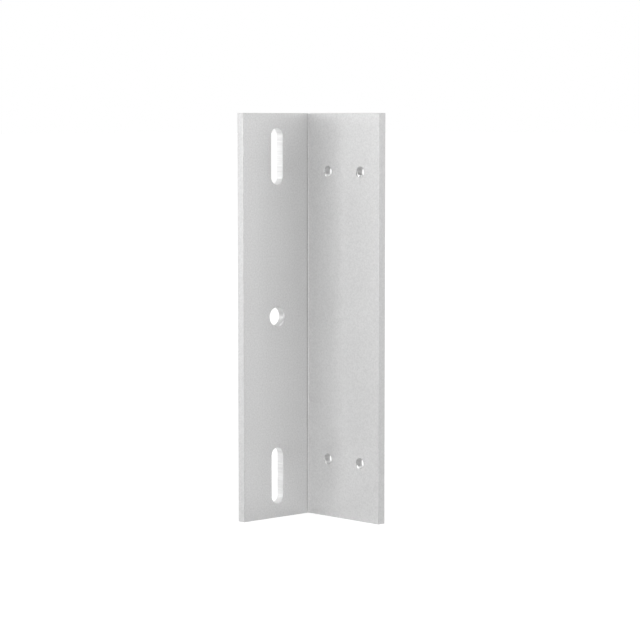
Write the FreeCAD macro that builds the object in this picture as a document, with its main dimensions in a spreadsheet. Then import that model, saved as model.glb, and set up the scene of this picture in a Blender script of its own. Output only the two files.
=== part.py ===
import FreeCAD, Part
import Sketcher
import math
import os

# Right-angle mounting bracket of a magnetic door lock: one length of aluminium angle, cut to
# length, milled, drilled and tapped, with every cut edge broken before it is anodised.
#
# Frame, in millimetres. The origin is the centre of the slot pattern on the face that lies
# against the door frame. +Z runs up the length of the angle, +X points away from the frame
# through the slotted leaf, and +Y points from the slots towards the corner of the angle.
#   slotted leaf: across Y, faces at X = 0 (outer) and X = leaf_thickness (inner)
#   tapped leaf:  along +X from the corner, carries the lock on its inner face

SIZES = (
    ("bracket_length", 185.0),
    ("leaf_thickness", 4.0),
    ("slotted_leaf_width", 44.0),
    ("tapped_leaf_width", 50.0),
    ("root_fillet", 0.8),
    ("arris_round", 0.2),
    ("slot_line", 23.5),
    ("slot_width", 7.0),
    ("slot_length", 25.8),
    ("slot_spacing", 146.0),
    ("slot_break", 0.1),
    ("centre_hole_diameter", 8.5),
    ("centre_hole_chamfer", 0.5),
    ("first_tapped_line", 16.75),
    ("tapped_spacing_across", 21.0),
    ("tapped_spacing_along", 132.0),
    ("pilot_diameter", 4.0),
    ("thread_chamfer", 0.6),
    ("thread_overrun", 1.0),
    ("end_break", 0.1),
)
THREAD = "M5x0.8"
ON_PLANE = 1e-5
SMALLEST_CUT = 1.0

ORIGIN_POINT = (-1, 1)
VERTICAL_AXIS = -2


def add_sheet(doc):
    """Put the driving dimensions in a spreadsheet, one alias each."""
    sheet = doc.addObject("Spreadsheet::Sheet", "Sizes")
    for row, (alias, value) in enumerate(SIZES, start=1):
        sheet.set(f"A{row}", alias)
        sheet.set(f"B{row}", str(value))
        sheet.setAlias(f"B{row}", alias)
    doc.recompute()
    return sheet


def add_sketch(body, name, plane_role, offset=None):
    """Attach a sketch to one of the body's origin planes, offset along the plane's normal."""
    plane = [part for part in body.Origin.OriginFeatures if part.Role == plane_role][0]
    sketch = body.newObject("Sketcher::SketchObject", name)
    sketch.AttachmentSupport = (plane, [""])
    sketch.MapMode = "FlatFace"
    if offset:
        sketch.setExpression("AttachmentOffset.Base.z", offset)
    return sketch


def bind(sketch, name, expression, *constraint):
    """Add a dimension to a sketch, name it and bind it to the sheet."""
    number = sketch.addConstraint(Sketcher.Constraint(*constraint))
    sketch.renameConstraint(number, name)
    sketch.setExpression(f"Constraints.{name}", expression)


def add_polygon(sketch, points):
    """Closed run of lines, each held horizontal or vertical; gives back their numbers."""
    lines = []
    for start, end in zip(points, points[1:] + points[:1]):
        segment = Part.LineSegment(FreeCAD.Vector(*start, 0), FreeCAD.Vector(*end, 0))
        lines.append(sketch.addGeometry(segment))
        direction = "Vertical" if start[0] == end[0] else "Horizontal"
        sketch.addConstraint(Sketcher.Constraint(direction, lines[-1]))
    for line, following in zip(lines, lines[1:] + lines[:1]):
        sketch.addConstraint(Sketcher.Constraint("Coincident", line, 2, following, 1))
    return lines


def add_profile(doc, body, sheet):
    """Extrude the angle's section along its length, half each way from mid-height."""
    corner_y = sheet.slot_line
    tip_y = corner_y - sheet.slotted_leaf_width
    thick = sheet.leaf_thickness
    tip_x = sheet.tapped_leaf_width
    sketch = add_sketch(body, "angle_section", "XY_Plane")
    outer, tip, inner, shelf, end, back = add_polygon(sketch, [
        (0.0, corner_y),
        (0.0, tip_y),
        (thick, tip_y),
        (thick, corner_y - thick),
        (tip_x, corner_y - thick),
        (tip_x, corner_y),
    ])
    sketch.addConstraint(Sketcher.Constraint("PointOnObject", outer, 1, VERTICAL_AXIS))
    bind(sketch, "corner", "Sizes.slot_line", "DistanceY", *ORIGIN_POINT, outer, 1, corner_y)
    bind(sketch, "slotted_leaf", "Sizes.slotted_leaf_width", "Distance", outer,
         sheet.slotted_leaf_width)
    bind(sketch, "tapped_leaf", "Sizes.tapped_leaf_width", "Distance", back, tip_x)
    bind(sketch, "slotted_thickness", "Sizes.leaf_thickness", "Distance", tip, thick)
    bind(sketch, "tapped_thickness", "Sizes.leaf_thickness", "Distance", end, thick)
    pad = body.newObject("PartDesign::Pad", "angle_extrusion")
    pad.Profile = sketch
    pad.SideType = "Symmetric"
    pad.setExpression("Length", "Sizes.bracket_length")
    doc.recompute()
    return pad


def upright_edges(shape, places):
    """Names of the edges along Z that pass through the given X, Y places."""
    names = []
    for number, edge in enumerate(shape.Edges, start=1):
        ends = [vertex.Point for vertex in edge.Vertexes]
        if abs(ends[0].x - ends[1].x) > ON_PLANE or abs(ends[0].y - ends[1].y) > ON_PLANE:
            continue
        if any(abs(ends[0].x - x) < ON_PLANE and abs(ends[0].y - y) < ON_PLANE for x, y in places):
            names.append(f"Edge{number}")
    return names


def add_dressing(doc, body, kind, name, base, edges, size_property, alias):
    """Fillet or chamfer the named edges of the feature before it."""
    dressing = body.newObject(kind, name)
    dressing.Base = (base, edges)
    dressing.setExpression(size_property, f"Sizes.{alias}")
    doc.recompute()
    return dressing


def round_section(doc, body, sheet, pad):
    """Root fillet inside the corner and rounded arrises on the extruded section."""
    corner_y = sheet.slot_line
    tip_y = corner_y - sheet.slotted_leaf_width
    thick = sheet.leaf_thickness
    root = upright_edges(pad.Shape, [(thick, corner_y - thick)])
    filleted = add_dressing(doc, body, "PartDesign::Fillet", "root_fillet", pad, root,
                            "Radius", "root_fillet")
    arrises = upright_edges(filleted.Shape, [
        (0.0, corner_y),
        (0.0, tip_y),
        (thick, tip_y),
        (sheet.tapped_leaf_width, corner_y - thick),
        (sheet.tapped_leaf_width, corner_y),
    ])
    return add_dressing(doc, body, "PartDesign::Fillet", "arris_rounds", filleted, arrises,
                        "Radius", "arris_round")


def add_slots(doc, body, sheet):
    """Mill the upper slot through the slotted leaf and mirror it about mid-height."""
    radius = sheet.slot_width / 2
    straight = sheet.slot_length - sheet.slot_width
    low = sheet.slot_spacing / 2 - straight / 2
    high = sheet.slot_spacing / 2 + straight / 2
    up = FreeCAD.Vector(0, 0, 1)
    sketch = add_sketch(body, "slot_outline", "YZ_Plane")
    upper_circle = Part.Circle(FreeCAD.Vector(0, high, 0), up, radius)
    lower_circle = Part.Circle(FreeCAD.Vector(0, low, 0), up, radius)
    upper = sketch.addGeometry(Part.ArcOfCircle(upper_circle, 0, math.pi))
    lower = sketch.addGeometry(Part.ArcOfCircle(lower_circle, math.pi, 2 * math.pi))
    left = sketch.addGeometry(Part.LineSegment(
        FreeCAD.Vector(-radius, high, 0), FreeCAD.Vector(-radius, low, 0)))
    right = sketch.addGeometry(Part.LineSegment(
        FreeCAD.Vector(radius, low, 0), FreeCAD.Vector(radius, high, 0)))
    for first, first_end, second, second_end in (
            (upper, 2, left, 1), (left, 2, lower, 1), (lower, 2, right, 1), (right, 2, upper, 1)):
        sketch.addConstraint(
            Sketcher.Constraint("Tangent", first, first_end, second, second_end))
    sketch.addConstraint(Sketcher.Constraint("Vertical", left))
    sketch.addConstraint(Sketcher.Constraint("PointOnObject", upper, 3, VERTICAL_AXIS))
    sketch.addConstraint(Sketcher.Constraint("PointOnObject", lower, 3, VERTICAL_AXIS))
    bind(sketch, "end_radius", "Sizes.slot_width / 2", "Radius", upper, radius)
    bind(sketch, "straight", "Sizes.slot_length - Sizes.slot_width", "DistanceY",
         lower, 3, upper, 3, straight)
    bind(sketch, "lower_end", "(Sizes.slot_spacing - Sizes.slot_length + Sizes.slot_width) / 2",
         "DistanceY", *ORIGIN_POINT, lower, 3, low)
    slot = body.newObject("PartDesign::Pocket", "upper_slot")
    slot.Profile = sketch
    slot.Type = "ThroughAll"
    slot.Reversed = True
    doc.recompute()
    mirrored = body.newObject("PartDesign::Mirrored", "lower_slot")
    mirrored.Originals = [slot]
    mid_height = [part for part in body.Origin.OriginFeatures if part.Role == "XY_Plane"][0]
    mirrored.MirrorPlane = (mid_height, [""])
    body.Tip = mirrored
    doc.recompute()


def add_centre_hole(doc, body, sheet):
    """Drill the cable and alignment hole at mid-height, between the slots."""
    radius = sheet.centre_hole_diameter / 2
    sketch = add_sketch(body, "centre_hole_outline", "YZ_Plane")
    circle = sketch.addGeometry(
        Part.Circle(FreeCAD.Vector(0, 0, 0), FreeCAD.Vector(0, 0, 1), radius))
    sketch.addConstraint(Sketcher.Constraint("Coincident", circle, 3, *ORIGIN_POINT))
    bind(sketch, "radius", "Sizes.centre_hole_diameter / 2", "Radius", circle, radius)
    hole = body.newObject("PartDesign::Pocket", "centre_hole")
    hole.Profile = sketch
    hole.Type = "ThroughAll"
    hole.Reversed = True
    doc.recompute()


def add_tapped_pattern(body, sheet, name, radius, radius_expression):
    """Sketch the four tapped holes' circles on the inner face of the tapped leaf."""
    sketch = add_sketch(body, name, "XZ_Plane", "-(Sizes.slot_line - Sizes.leaf_thickness)")
    near = sheet.first_tapped_line
    across = sheet.tapped_spacing_across
    along = sheet.tapped_spacing_along
    columns = (
        ("near", near, "Sizes.first_tapped_line"),
        ("far", near + across, "Sizes.first_tapped_line + Sizes.tapped_spacing_across"),
    )
    rows = (("upper", 1), ("lower", -1))
    for column, x, x_expression in columns:
        for row, side in rows:
            z = side * along / 2
            circle = sketch.addGeometry(
                Part.Circle(FreeCAD.Vector(x, z, 0), FreeCAD.Vector(0, 0, 1), radius))
            bind(sketch, f"{row}_{column}_radius", radius_expression, "Radius", circle, radius)
            bind(sketch, f"{row}_{column}_across", x_expression,
                 "DistanceX", *ORIGIN_POINT, circle, 3, x)
            bind(sketch, f"{row}_{column}_along", f"{side} * Sizes.tapped_spacing_along / 2",
                 "DistanceY", *ORIGIN_POINT, circle, 3, z)
    return sketch


def add_pilot_holes(doc, body, sheet):
    """Drill the four pilot holes through the tapped leaf, just under the thread's core."""
    sketch = add_tapped_pattern(body, sheet, "pilot_outline", sheet.pilot_diameter / 2,
                                "Sizes.pilot_diameter / 2")
    pilots = body.newObject("PartDesign::Pocket", "pilot_holes")
    pilots.Profile = sketch
    pilots.Type = "ThroughAll"
    doc.recompute()
    return pilots


def flat_wires(shape, axis, place, inner):
    """Inner rims or outlines of the flat faces that lie at a place on an axis."""
    wires = []
    for face in shape.Faces:
        box = face.BoundBox
        low, high = getattr(box, axis + "Min"), getattr(box, axis + "Max")
        if abs(low - place) > ON_PLANE or abs(high - place) > ON_PLANE:
            continue
        wires += [wire for wire in face.Wires if wire.isSame(face.OuterWire) != inner]
    return wires


def edge_names(shape, wires):
    """Names of a shape's edges that belong to the wires."""
    rims = [rim for wire in wires for rim in wire.Edges]
    return [f"Edge{number}" for number, edge in enumerate(shape.Edges, start=1)
            if any(edge.isSame(rim) for rim in rims)]


def break_edges(doc, body, sheet, pilots):
    """Chamfer the thread mouths and the centre hole, and break the slot rims and sawn ends."""
    thick = sheet.leaf_thickness
    shape = pilots.Shape
    mouths = (flat_wires(shape, "Y", sheet.slot_line - thick, True)
              + flat_wires(shape, "Y", sheet.slot_line, True))
    chamfered = add_dressing(doc, body, "PartDesign::Chamfer", "thread_mouths", pilots,
                             edge_names(shape, mouths), "Size", "thread_chamfer")
    shape = chamfered.Shape
    rims = flat_wires(shape, "X", 0.0, True) + flat_wires(shape, "X", thick, True)
    circles = [rim for rim in rims if len(rim.Edges) == 1]
    countersunk = add_dressing(doc, body, "PartDesign::Chamfer", "centre_hole_chamfers", chamfered,
                               edge_names(shape, circles), "Size", "centre_hole_chamfer")
    shape = countersunk.Shape
    rims = flat_wires(shape, "X", 0.0, True) + flat_wires(shape, "X", thick, True)
    slots = [rim for rim in rims if len(rim.Edges) > 1]
    broken = add_dressing(doc, body, "PartDesign::Chamfer", "slot_breaks", countersunk,
                          edge_names(shape, slots), "Size", "slot_break")
    half = sheet.bracket_length / 2
    shape = broken.Shape
    ends = flat_wires(shape, "Z", -half, False) + flat_wires(shape, "Z", half, False)
    return add_dressing(doc, body, "PartDesign::Chamfer", "end_breaks", broken,
                        edge_names(shape, ends), "Size", "end_break")


def cut_threads(doc, body, sheet):
    """Tap the four pilot holes right through the leaf with a modelled thread."""
    sketch = add_tapped_pattern(body, sheet, "thread_outline", sheet.pilot_diameter / 2,
                                "Sizes.pilot_diameter / 2")
    doc.recompute()
    threads = body.newObject("PartDesign::Hole", "threads")
    threads.Profile = sketch
    doc.recompute()
    threads.ThreadType = "ISOMetricProfile"
    threads.ThreadSize = THREAD
    threads.Threaded = True
    threads.ModelThread = True
    threads.DepthType = "Dimension"
    threads.setExpression("Depth", "Sizes.leaf_thickness + Sizes.thread_overrun")
    threads.DrillPoint = "Flat"
    threads.ThreadDepthType = "Hole Depth"
    doc.recompute()
    return threads


def check(doc, bodies):
    """Stop on any failed feature or unsound shape before anything is written."""
    for item in doc.Objects:
        if "Invalid" in item.State or "Error" in item.State:
            raise RuntimeError(f"{item.Name} failed: {item.State}")
    for body in bodies:
        if body.Shape.isNull() or not body.Shape.isValid():
            raise RuntimeError(f"{body.Label} has no valid shape")
        if len(body.Shape.Solids) != 1:
            raise RuntimeError(f"{body.Label} is {len(body.Shape.Solids)} solids")


def check_cut(body, before, name):
    """Stop if a cut took nothing away, and give back the volume that is left."""
    after = body.Shape.Volume
    if after > before - SMALLEST_CUT:
        raise RuntimeError(f"{name} removed nothing")
    return after


def build_angle_bracket(doc, sheet):
    body = doc.addObject("PartDesign::Body", "angle_bracket")
    body.Label = "angle_bracket"
    doc.recompute()
    pad = add_profile(doc, body, sheet)
    round_section(doc, body, sheet, pad)
    volume = body.Shape.Volume
    add_slots(doc, body, sheet)
    volume = check_cut(body, volume, "slots")
    add_centre_hole(doc, body, sheet)
    volume = check_cut(body, volume, "centre hole")
    pilots = add_pilot_holes(doc, body, sheet)
    volume = check_cut(body, volume, "pilot holes")
    break_edges(doc, body, sheet, pilots)
    volume = check_cut(body, volume, "edge breaks")
    cut_threads(doc, body, sheet)
    check_cut(body, volume, "threads")
    body.Placement = FreeCAD.Placement()
    return body


doc = FreeCAD.newDocument("MagneticLockBracket")
sheet = add_sheet(doc)
bodies = [build_angle_bracket(doc, sheet)]
doc.recompute()
check(doc, bodies)
os.makedirs("parts", exist_ok=True)
for body in bodies:
    body.Shape.exportStep(f"parts/{body.Label}.step")
    box = body.Shape.optimalBoundingBox(False, False)
    print(body.Label, f"{box.XLength:.2f} x {box.YLength:.2f} x {box.ZLength:.2f} mm,",
          f"{body.Shape.Volume:.0f} cubic mm, {len(body.Shape.Faces)} faces")
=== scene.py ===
import math

import bpy
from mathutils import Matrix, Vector


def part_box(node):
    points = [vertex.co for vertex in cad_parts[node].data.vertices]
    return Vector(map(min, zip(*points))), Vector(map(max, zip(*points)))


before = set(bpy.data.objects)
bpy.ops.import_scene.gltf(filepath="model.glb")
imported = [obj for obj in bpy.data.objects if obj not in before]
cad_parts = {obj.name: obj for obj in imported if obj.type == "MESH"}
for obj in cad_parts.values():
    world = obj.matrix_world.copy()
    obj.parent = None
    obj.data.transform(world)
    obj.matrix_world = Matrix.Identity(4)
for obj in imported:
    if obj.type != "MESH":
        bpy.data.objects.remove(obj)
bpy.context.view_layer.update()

# The looks of a magnetic door lock's angle bracket: fine bead-blasted, clear-anodised aluminium,
# standing on end in soft studio light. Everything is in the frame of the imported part, and in
# metres unless a comment says otherwise.

BRACKET = "angle_bracket"
MM = 0.001

low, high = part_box(BRACKET)


# ---- camera --------------------------------------------------------------------------------

# Angles in degrees, lens and sensor in millimetres. The aim is measured from the low corner of
# the bracket's box.
CAMERA_AZIMUTH = 46.6
CAMERA_ELEVATION = 4.8
CAMERA_DISTANCE = 1.094
CAMERA_LENS = 135.9
SENSOR_WIDTH = 36.0
AIM_FROM_LOW_CORNER = Vector((22.9, 29.4, 91.6)) * MM


def direction(azimuth, elevation):
    """Unit vector from the bracket towards an azimuth and elevation, in degrees.

    Azimuth 0 is the -Y side, which faces the tapped leaf, and 90 is the +X side."""
    turn, rise = math.radians(azimuth), math.radians(elevation)
    level = math.cos(rise)
    return Vector((math.sin(turn) * level, -math.cos(turn) * level, math.sin(rise)))


def add_camera():
    """Camera in front of the open side of the angle, looking slightly down at it."""
    data = bpy.data.cameras.new("camera")
    data.lens = CAMERA_LENS
    data.sensor_width = SENSOR_WIDTH
    camera = bpy.data.objects.new("camera", data)
    back = direction(CAMERA_AZIMUTH, CAMERA_ELEVATION)
    camera.location = low + AIM_FROM_LOW_CORNER + back * CAMERA_DISTANCE
    camera.rotation_mode = "QUATERNION"
    camera.rotation_quaternion = (-back).to_track_quat("-Z", "Y")
    bpy.context.scene.collection.objects.link(camera)
    bpy.context.scene.camera = camera


# ---- material ------------------------------------------------------------------------------

# Where the cutting tools left their marks, in millimetres: beyond END_HEIGHT are the sawn ends,
# and within WALL_REACH of the slotted leaf's middle and CUT_REACH of its slot line are the walls
# of the milled slots and, within DRILLED_REACH of mid-height, of the drilled hole. A mask goes
# from 0 to 1 over MASK_EDGE.
END_HEIGHT = 92.42
LEAF_MIDDLE = 2.0
WALL_REACH = 1.85
CUT_REACH = 4.8
DRILLED_REACH = 8.0
MASK_EDGE = 0.05

# Grains of the surface: spacing along X, Y and Z and depth of bump, in millimetres, and detail.
GRAINS = {
    "blasted": ((0.25, 0.25, 0.25), 0.03, 2.0),
    "mottled": ((0.8, 0.8, 0.8), 0.045, 2.0),
    "drawn": ((0.5, 0.5, 60.0), 0.004, 1.0),
    "sawn": ((20.0, 0.35, 20.0), 0.03, 1.0),
    "milled": ((20.0, 20.0, 0.9), 0.08, 1.0),
}
NOISE_ROUGHNESS = 0.6

# Roughness and grey of the surface, each with the part of a grain's range that it goes over. The
# milled grey is for the walls of the slots: lighter partly for their milled finish and partly as
# painted light, standing in for the brighter light that the walls catch.
ROUGHNESS = (0.35, 0.41)
ROUGHNESS_GRAIN = (0.3, 0.7)
BLASTED_GREY = (0.7, 0.82)
BLASTED_GRAIN = (0.25, 0.75)
MILLED_AND_PAINTED_LIGHT_GREY = (0.86, 1.0)
MILLED_GRAIN = (0.3, 0.7)


def add_node(tree, kind, **settings):
    """New shader node; a setting is a socket's value by name, or a property of the node."""
    node = tree.nodes.new(kind)
    for name, value in settings.items():
        socket = node.inputs.get(name.replace("_", " ").title())
        if socket is None:
            setattr(node, name, value)
        else:
            socket.default_value = value
    return node


def add_grain(tree, place, spacing, detail):
    """Noise stretched by its spacing along X, Y and Z, in millimetres; about 0.3 to 0.7."""
    fit = add_node(tree, "ShaderNodeMapping")
    fit.inputs["Scale"].default_value = [1 / (size * MM) for size in spacing]
    tree.links.new(place, fit.inputs["Vector"])
    noise = add_node(tree, "ShaderNodeTexNoise", Scale=1.0, Detail=detail,
                     Roughness=NOISE_ROUGHNESS)
    tree.links.new(fit.outputs["Vector"], noise.inputs["Vector"])
    return noise.outputs["Fac"]


def add_range(tree, value, values, results):
    """Map a value from one range to another, held at the ends."""
    level = add_node(tree, "ShaderNodeMapRange")
    level.inputs["From Min"].default_value = values[0]
    level.inputs["From Max"].default_value = values[1]
    level.inputs["To Min"].default_value = results[0]
    level.inputs["To Max"].default_value = results[1]
    tree.links.new(value, level.inputs["Value"])
    return level.outputs["Result"]


def add_product(tree, first, second):
    """One value times another; 1 only where both masks are 1."""
    product = add_node(tree, "ShaderNodeMath", operation="MULTIPLY")
    tree.links.new(first, product.inputs[0])
    tree.links.new(second, product.inputs[1])
    return product.outputs["Value"]


def add_inverse(tree, mask):
    """1 where a mask is 0, and 0 where it is 1."""
    inverse = add_node(tree, "ShaderNodeMath", operation="SUBTRACT")
    inverse.inputs[0].default_value = 1.0
    tree.links.new(mask, inverse.inputs[1])
    return inverse.outputs["Value"]


def add_grey(tree, value, values, greys):
    """Grey that goes from the first to the second as a value goes over its range."""
    mix = add_node(tree, "ShaderNodeMix", data_type="RGBA")
    for socket, grey in zip(("A", "B"), greys):
        mix.inputs[socket].default_value = (grey, grey, grey, 1.0)
    tree.links.new(add_range(tree, value, values, (0.0, 1.0)), mix.inputs["Factor"])
    return mix.outputs["Result"]


def add_bump(tree, height, depth, below):
    """Bump of a depth in millimetres on top of the normal below it, if there is one."""
    bump = add_node(tree, "ShaderNodeBump", Strength=1.0, Distance=depth * MM)
    tree.links.new(height, bump.inputs["Height"])
    if below:
        tree.links.new(below, bump.inputs["Normal"])
    return bump.outputs["Normal"]


def near(tree, value, limit):
    """1 where a length is within a limit in millimetres of zero, 0 beyond it."""
    size = add_node(tree, "ShaderNodeMath", operation="ABSOLUTE")
    tree.links.new(value, size.inputs[0])
    edge = (limit * MM, (limit - MASK_EDGE) * MM)
    return add_range(tree, size.outputs["Value"], edge, (0.0, 1.0))


def anodised_aluminium():
    """Bead-blasted, clear-anodised aluminium, with what its tools left on the cut faces; the slot
    walls are lighter, partly milled and partly painted light.
    """
    material = bpy.data.materials.new("anodised_aluminium")
    material.use_nodes = True
    tree = material.node_tree
    shader = tree.nodes["Principled BSDF"]
    shader.inputs["Metallic"].default_value = 1.0
    place = add_node(tree, "ShaderNodeTexCoord").outputs["Object"]
    split = add_node(tree, "ShaderNodeSeparateXYZ")
    tree.links.new(place, split.inputs["Vector"])

    grains = {name: add_grain(tree, place, spacing, detail)
              for name, (spacing, _, detail) in GRAINS.items()}

    body = near(tree, split.outputs["Z"], END_HEIGHT)
    ends = add_inverse(tree, body)
    leaf = add_node(tree, "ShaderNodeMath", operation="SUBTRACT")
    leaf.inputs[1].default_value = LEAF_MIDDLE * MM
    tree.links.new(split.outputs["X"], leaf.inputs[0])
    walls = add_product(tree, near(tree, leaf.outputs["Value"], WALL_REACH),
                        near(tree, split.outputs["Y"], CUT_REACH))
    walls = add_product(tree, walls, body)
    away = add_inverse(tree, near(tree, split.outputs["Z"], DRILLED_REACH))
    slots = add_product(tree, walls, away)

    normal = None
    masks = {"sawn": ends, "milled": walls}
    for name, (_, depth, _) in GRAINS.items():
        height = grains[name]
        if name in masks:
            height = add_product(tree, height, masks[name])
        normal = add_bump(tree, height, depth, normal)
    tree.links.new(normal, shader.inputs["Normal"])

    rough = add_range(tree, grains["mottled"], ROUGHNESS_GRAIN, ROUGHNESS)
    tree.links.new(rough, shader.inputs["Roughness"])

    tone = add_node(tree, "ShaderNodeMix", data_type="RGBA")
    blasted = add_grey(tree, grains["mottled"], BLASTED_GRAIN, BLASTED_GREY)
    # Lighter grey on the slot walls: partly their milled finish, partly painted light standing in
    # for the brighter light that falls in the slots.
    milled = add_grey(tree, grains["milled"], MILLED_GRAIN, MILLED_AND_PAINTED_LIGHT_GREY)
    tree.links.new(slots, tone.inputs["Factor"])
    tree.links.new(blasted, tone.inputs["A"])
    tree.links.new(milled, tone.inputs["B"])
    tree.links.new(tone.outputs["Result"], shader.inputs["Base Color"])
    return material


# ---- light and floor -----------------------------------------------------------------------

# Softboxes, all facing the middle of the bracket from LIGHT_DISTANCE away: azimuth, elevation,
# width and height as seen from the bracket, in degrees, and radiance against a white of 1.
LIGHT_DISTANCE = 2.5
SOFTBOXES = {
    "left_high": (-13, 34, 18, 26, 5.8),
    "left_middle": (-16, 8, 28, 20, 3.2),
    "left_side": (-52, 5, 30, 30, 0.32),
    "right_high": (98, 34, 26, 26, 6.0),
    "right_middle": (112, 10, 26, 20, 1.1),
    "right_low": (96, -34, 26, 26, 1.4),
    "front_low": (38, -16, 28, 24, 2.3),
    "front_middle": (38, 10, 28, 20, 1.5),
}

# Radiance of the room round the bracket, and ROOM_SEEN where the camera sees it directly.
# ROOM_DARK_SIDE is the azimuth of the middle of its front, in degrees, and the blends are where
# one level turns into the next, as the part of a direction that points to the front, up or down.
ROOM_DARK_SIDE = 47
ROOM_FRONT = 0.12
ROOM_BACK = 0.7
ROOM_TOP = 0.9
ROOM_BOTTOM = 0.9
ROOM_SEEN = 1.0
FRONT_BLEND = (0.1, 0.6)
TOP_BLEND = (0.55, 0.9)
BOTTOM_BLEND = (-0.55, -0.9)

# The floor glows so that it looks white, with a little of its own grey to take a shadow.
FLOOR_REACH = 20.0
FLOOR_GREY = 0.35
FLOOR_ROUGHNESS = 0.9
FLOOR_GLOW = 0.8


def add_softbox(name, azimuth, elevation, width, height, radiance):
    """Rectangular area light that the camera doesn't see, with its angles in degrees."""
    data = bpy.data.lights.new(name, "AREA")
    data.shape = "RECTANGLE"
    data.size = 2 * LIGHT_DISTANCE * math.tan(math.radians(width / 2))
    data.size_y = 2 * LIGHT_DISTANCE * math.tan(math.radians(height / 2))
    data.energy = radiance * math.pi * data.size * data.size_y
    light = bpy.data.objects.new(name, data)
    back = direction(azimuth, elevation)
    light.location = (low + high) / 2 + back * LIGHT_DISTANCE
    light.rotation_mode = "QUATERNION"
    light.rotation_quaternion = back.to_track_quat("Z", "Y")
    light.visible_camera = False
    bpy.context.scene.collection.objects.link(light)


def add_blend(tree, value, values, first, second):
    """Smooth blend between two levels as a value goes over its range, each a number or socket."""
    blend = add_node(tree, "ShaderNodeMapRange", interpolation_type="SMOOTHSTEP")
    blend.inputs["From Min"].default_value = values[0]
    blend.inputs["From Max"].default_value = values[1]
    tree.links.new(value, blend.inputs["Value"])
    mix = add_node(tree, "ShaderNodeMix", data_type="FLOAT")
    tree.links.new(blend.outputs["Result"], mix.inputs["Factor"])
    for socket, level in ((mix.inputs["A"], first), (mix.inputs["B"], second)):
        if isinstance(level, float):
            socket.default_value = level
        else:
            tree.links.new(level, socket)
    return mix.outputs["Result"]


def add_room():
    """Pale room, darker on the side that the camera stands on, and plain white to look at."""
    world = bpy.data.worlds.new("room")
    world.use_nodes = True
    tree = world.node_tree
    background = tree.nodes["Background"]
    way = add_node(tree, "ShaderNodeTexCoord").outputs["Generated"]
    front = add_node(tree, "ShaderNodeVectorMath", operation="DOT_PRODUCT")
    tree.links.new(way, front.inputs[0])
    front.inputs[1].default_value = direction(ROOM_DARK_SIDE, 0)
    height = add_node(tree, "ShaderNodeSeparateXYZ")
    tree.links.new(way, height.inputs["Vector"])
    level = add_blend(tree, front.outputs["Value"], FRONT_BLEND, ROOM_BACK, ROOM_FRONT)
    level = add_blend(tree, height.outputs["Z"], TOP_BLEND, level, ROOM_TOP)
    level = add_blend(tree, height.outputs["Z"], BOTTOM_BLEND, level, ROOM_BOTTOM)
    seen = add_node(tree, "ShaderNodeLightPath").outputs["Is Camera Ray"]
    level = add_blend(tree, seen, (0.0, 1.0), level, ROOM_SEEN)
    tree.links.new(level, background.inputs["Strength"])
    background.inputs["Color"].default_value = (1.0, 1.0, 1.0, 1.0)
    bpy.context.scene.world = world


def add_floor():
    """White sweep that takes the bracket's shadow but throws no light back on it."""
    mesh = bpy.data.meshes.new("floor")
    corners = [(FLOOR_REACH * x, FLOOR_REACH * y, 0)
               for x, y in ((-1, -1), (1, -1), (1, 1), (-1, 1))]
    mesh.from_pydata(corners, [], [(0, 1, 2, 3)])
    floor = bpy.data.objects.new("floor", mesh)
    floor.location.z = low.z
    material = bpy.data.materials.new("floor")
    material.use_nodes = True
    shader = material.node_tree.nodes["Principled BSDF"]
    shader.inputs["Base Color"].default_value = (FLOOR_GREY, FLOOR_GREY, FLOOR_GREY, 1.0)
    shader.inputs["Roughness"].default_value = FLOOR_ROUGHNESS
    shader.inputs["Specular IOR Level"].default_value = 0.0
    shader.inputs["Emission Color"].default_value = (1.0, 1.0, 1.0, 1.0)
    shader.inputs["Emission Strength"].default_value = FLOOR_GLOW
    mesh.materials.append(material)
    floor.visible_diffuse = False
    floor.visible_glossy = False
    floor.visible_shadow = False
    bpy.context.scene.collection.objects.link(floor)


add_camera()
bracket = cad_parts[BRACKET]
bracket.material_slots[0].material = anodised_aluminium()
for name, box in SOFTBOXES.items():
    add_softbox(name, *box)
add_room()
add_floor()
bpy.context.scene.view_settings.view_transform = "Standard"
